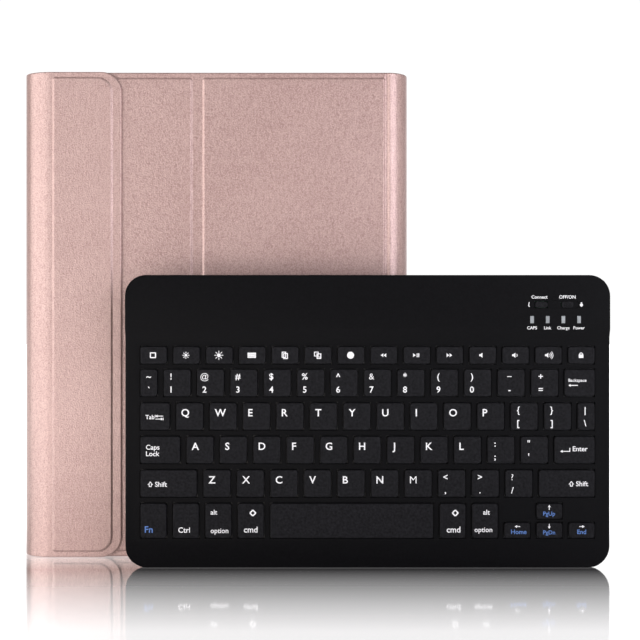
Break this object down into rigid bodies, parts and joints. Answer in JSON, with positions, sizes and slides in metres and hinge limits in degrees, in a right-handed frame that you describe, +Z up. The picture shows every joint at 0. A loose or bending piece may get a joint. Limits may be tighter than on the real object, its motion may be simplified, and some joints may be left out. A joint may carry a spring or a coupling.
{
  "type": "tablet keyboard case",
  "caption": "Folding leather folio with a tablet tray, stand fold and magnetic closure flap, and a separate slim wireless keyboard.",
  "frame": {"origin": "on the ground, under the middle of the folio and keyboard together", "axes": "+X to the viewer's right along the keyboard, +Y away from the viewer, +Z up along the spine"},
  "size_m": [0.308, 0.056, 0.26],
  "materials": {
    "leather": "rose gold grained synthetic leather, satin",
    "lining": "brushed microfibre",
    "board": "pressed greyboard",
    "plate_steel": "rolled sheet",
    "magnet": "nickel plated",
    "adhesive": "adhesive film",
    "tray": "moulded flexible plastic, fine matt",
    "keyboard_shell": "fine spark-eroded matt",
    "key_plastic": "matt with faint sheen",
    "membrane": "printed film",
    "silicone": "translucent silicone",
    "scissor_plastic": "moulded acetal",
    "circuit": "solder mask",
    "battery": "foil pouch",
    "socket_steel": "stamped, tinned",
    "lens": "clear diffusing acrylic",
    "screw": "black oxide",
    "foot_rubber": "matt"
  },
  "bodies": {
    "leg_panel": {"leg_skin": "leather", "leg_board": "board", "leg_lining": "lining"},
    "tablet_panel": {"tablet_panel_skin": "leather", "tablet_panel_board": "board", "tablet_panel_lining": "lining", "closure_plates": "plate_steel", "tray_adhesive": "adhesive", "tablet_tray": "tray"},
    "spine": {"spine_skin": "leather", "spine_stiffener": "board", "spine_lining": "lining"},
    "page": {"page_skin": "leather", "page_board": "board", "page_lining": "lining", "page_magnets": "magnet"},
    "strip": {"strip_skin": "leather", "strip_lining": "lining"},
    "flap": {"flap_skin": "leather", "flap_board": "board", "flap_lining": "lining", "flap_magnets": "magnet"},
    "keyboard": {"keyboard_top_cover": "keyboard_shell", "keyboard_bottom_cover": "keyboard_shell", "key_backplate": "plate_steel", "membrane_sheet": "membrane", "rubber_domes": "silicone", "key_scissors": "scissor_plastic", "circuit_board": "circuit", "battery_cell": "battery", "charging_socket": "socket_steel", "indicator_lenses": "lens", "cover_screws": "screw", "rubber_feet": "foot_rubber", "keyboard_magnets": "magnet"},
    "function_row_keys": {"function_row_keys": "key_plastic"},
    "number_row_keys": {"number_row_keys": "key_plastic"},
    "q_row_keys": {"q_row_keys": "key_plastic"},
    "a_row_keys": {"a_row_keys": "key_plastic"},
    "z_row_keys": {"z_row_keys": "key_plastic"},
    "backspace_key": {"backspace_key": "key_plastic"},
    "tab_key": {"tab_key": "key_plastic"},
    "caps_lock_key": {"caps_lock_key": "key_plastic"},
    "enter_key": {"enter_key": "key_plastic"},
    "left_shift_key": {"left_shift_key": "key_plastic"},
    "right_shift_key": {"right_shift_key": "key_plastic"},
    "fn_key": {"fn_key": "key_plastic"},
    "ctrl_key": {"ctrl_key": "key_plastic"},
    "left_alt_key": {"left_alt_key": "key_plastic"},
    "left_command_key": {"left_command_key": "key_plastic"},
    "space_bar": {"space_bar": "key_plastic"},
    "right_command_key": {"right_command_key": "key_plastic"},
    "right_alt_key": {"right_alt_key": "key_plastic"},
    "left_arrow_key": {"left_arrow_key": "key_plastic"},
    "up_arrow_key": {"up_arrow_key": "key_plastic"},
    "down_arrow_key": {"down_arrow_key": "key_plastic"},
    "right_arrow_key": {"right_arrow_key": "key_plastic"},
    "power_switch_knob": {"power_switch_knob": "key_plastic"},
    "connect_button": {"connect_button": "key_plastic"}
  },
  "joints": [
    {"name": "spine_hinge", "type": "hinge", "parent": "leg_panel", "child": "spine", "pos_m": [0.0418, 0.00555, 0.13], "axis": [0, 0, -1], "range_deg": [0, 90]},
    {"name": "page_hinge", "type": "hinge", "parent": "spine", "child": "page", "pos_m": [0.0418, 0.02795, 0.13], "axis": [0, 0, -1], "range_deg": [0, 90]},
    {"name": "stand_fold", "type": "hinge", "parent": "leg_panel", "child": "tablet_panel", "pos_m": [-0.0601, 0.00555, 0.13], "axis": [0, 0, 1], "range_deg": [0, 36]},
    {"name": "strip_hinge", "type": "hinge", "parent": "page", "child": "strip", "pos_m": [-0.14175, 0.02795, 0.13], "axis": [0, 0, -1], "range_deg": [0, 90]},
    {"name": "flap_hinge", "type": "hinge", "parent": "strip", "child": "flap", "pos_m": [-0.14175, 0.00345, 0.13], "axis": [0, 0, -1], "range_deg": [0, 90]},
    {"name": "keyboard_lift", "type": "slide", "parent": "leg_panel", "child": "keyboard", "axis": [0, -1, 0], "range_m": [0, 0.06]},
    {"name": "function_row_keys_press", "type": "slide", "parent": "keyboard", "child": "function_row_keys", "axis": [0, 1, 0], "range_m": [0, 0.0015], "stiffness_N_per_m": 360, "deforming": ["rubber_domes", "key_scissors"]},
    {"name": "number_row_keys_press", "type": "slide", "parent": "keyboard", "child": "number_row_keys", "axis": [0, 1, 0], "range_m": [0, 0.0015], "stiffness_N_per_m": 360, "deforming": ["rubber_domes", "key_scissors"]},
    {"name": "q_row_keys_press", "type": "slide", "parent": "keyboard", "child": "q_row_keys", "axis": [0, 1, 0], "range_m": [0, 0.0015], "stiffness_N_per_m": 360, "deforming": ["rubber_domes", "key_scissors"]},
    {"name": "a_row_keys_press", "type": "slide", "parent": "keyboard", "child": "a_row_keys", "axis": [0, 1, 0], "range_m": [0, 0.0015], "stiffness_N_per_m": 360, "deforming": ["rubber_domes", "key_scissors"]},
    {"name": "z_row_keys_press", "type": "slide", "parent": "keyboard", "child": "z_row_keys", "axis": [0, 1, 0], "range_m": [0, 0.0015], "stiffness_N_per_m": 360, "deforming": ["rubber_domes", "key_scissors"]},
    {"name": "backspace_key_press", "type": "slide", "parent": "keyboard", "child": "backspace_key", "axis": [0, 1, 0], "range_m": [0, 0.0015], "stiffness_N_per_m": 360, "deforming": ["rubber_domes", "key_scissors"]},
    {"name": "tab_key_press", "type": "slide", "parent": "keyboard", "child": "tab_key", "axis": [0, 1, 0], "range_m": [0, 0.0015], "stiffness_N_per_m": 360, "deforming": ["rubber_domes", "key_scissors"]},
    {"name": "caps_lock_key_press", "type": "slide", "parent": "keyboard", "child": "caps_lock_key", "axis": [0, 1, 0], "range_m": [0, 0.0015], "stiffness_N_per_m": 360, "deforming": ["rubber_domes", "key_scissors"]},
    {"name": "enter_key_press", "type": "slide", "parent": "keyboard", "child": "enter_key", "axis": [0, 1, 0], "range_m": [0, 0.0015], "stiffness_N_per_m": 360, "deforming": ["rubber_domes", "key_scissors"]},
    {"name": "left_shift_key_press", "type": "slide", "parent": "keyboard", "child": "left_shift_key", "axis": [0, 1, 0], "range_m": [0, 0.0015], "stiffness_N_per_m": 360, "deforming": ["rubber_domes", "key_scissors"]},
    {"name": "right_shift_key_press", "type": "slide", "parent": "keyboard", "child": "right_shift_key", "axis": [0, 1, 0], "range_m": [0, 0.0015], "stiffness_N_per_m": 360, "deforming": ["rubber_domes", "key_scissors"]},
    {"name": "fn_key_press", "type": "slide", "parent": "keyboard", "child": "fn_key", "axis": [0, 1, 0], "range_m": [0, 0.0015], "stiffness_N_per_m": 360, "deforming": ["rubber_domes", "key_scissors"]},
    {"name": "ctrl_key_press", "type": "slide", "parent": "keyboard", "child": "ctrl_key", "axis": [0, 1, 0], "range_m": [0, 0.0015], "stiffness_N_per_m": 360, "deforming": ["rubber_domes", "key_scissors"]},
    {"name": "left_alt_key_press", "type": "slide", "parent": "keyboard", "child": "left_alt_key", "axis": [0, 1, 0], "range_m": [0, 0.0015], "stiffness_N_per_m": 360, "deforming": ["rubber_domes", "key_scissors"]},
    {"name": "left_command_key_press", "type": "slide", "parent": "keyboard", "child": "left_command_key", "axis": [0, 1, 0], "range_m": [0, 0.0015], "stiffness_N_per_m": 360, "deforming": ["rubber_domes", "key_scissors"]},
    {"name": "space_bar_press", "type": "slide", "parent": "keyboard", "child": "space_bar", "axis": [0, 1, 0], "range_m": [0, 0.0015], "stiffness_N_per_m": 360, "deforming": ["rubber_domes", "key_scissors"]},
    {"name": "right_command_key_press", "type": "slide", "parent": "keyboard", "child": "right_command_key", "axis": [0, 1, 0], "range_m": [0, 0.0015], "stiffness_N_per_m": 360, "deforming": ["rubber_domes", "key_scissors"]},
    {"name": "right_alt_key_press", "type": "slide", "parent": "keyboard", "child": "right_alt_key", "axis": [0, 1, 0], "range_m": [0, 0.0015], "stiffness_N_per_m": 360, "deforming": ["rubber_domes", "key_scissors"]},
    {"name": "left_arrow_key_press", "type": "slide", "parent": "keyboard", "child": "left_arrow_key", "axis": [0, 1, 0], "range_m": [0, 0.0015], "stiffness_N_per_m": 360, "deforming": ["rubber_domes", "key_scissors"]},
    {"name": "up_arrow_key_press", "type": "slide", "parent": "keyboard", "child": "up_arrow_key", "axis": [0, 1, 0], "range_m": [0, 0.0015], "stiffness_N_per_m": 360, "deforming": ["rubber_domes", "key_scissors"]},
    {"name": "down_arrow_key_press", "type": "slide", "parent": "keyboard", "child": "down_arrow_key", "axis": [0, 1, 0], "range_m": [0, 0.0015], "stiffness_N_per_m": 360, "deforming": ["rubber_domes", "key_scissors"]},
    {"name": "right_arrow_key_press", "type": "slide", "parent": "keyboard", "child": "right_arrow_key", "axis": [0, 1, 0], "range_m": [0, 0.0015], "stiffness_N_per_m": 360, "deforming": ["rubber_domes", "key_scissors"]},
    {"name": "power_switch_slide", "type": "slide", "parent": "keyboard", "child": "power_switch_knob", "axis": [-1, 0, 0], "range_m": [0, 0.0022]},
    {"name": "connect_press", "type": "slide", "parent": "keyboard", "child": "connect_button", "axis": [0, 1, 0], "range_m": [0, 0.0005], "stiffness_N_per_m": 500}
  ],
  "couplings": [
    {"joint": "page_hinge", "follows": "spine_hinge", "ratio": 1},
    {"joint": "stand_fold", "follows": "spine_hinge", "ratio": 0.4},
    {"joint": "flap_hinge", "follows": "strip_hinge", "ratio": 1}
  ]
}
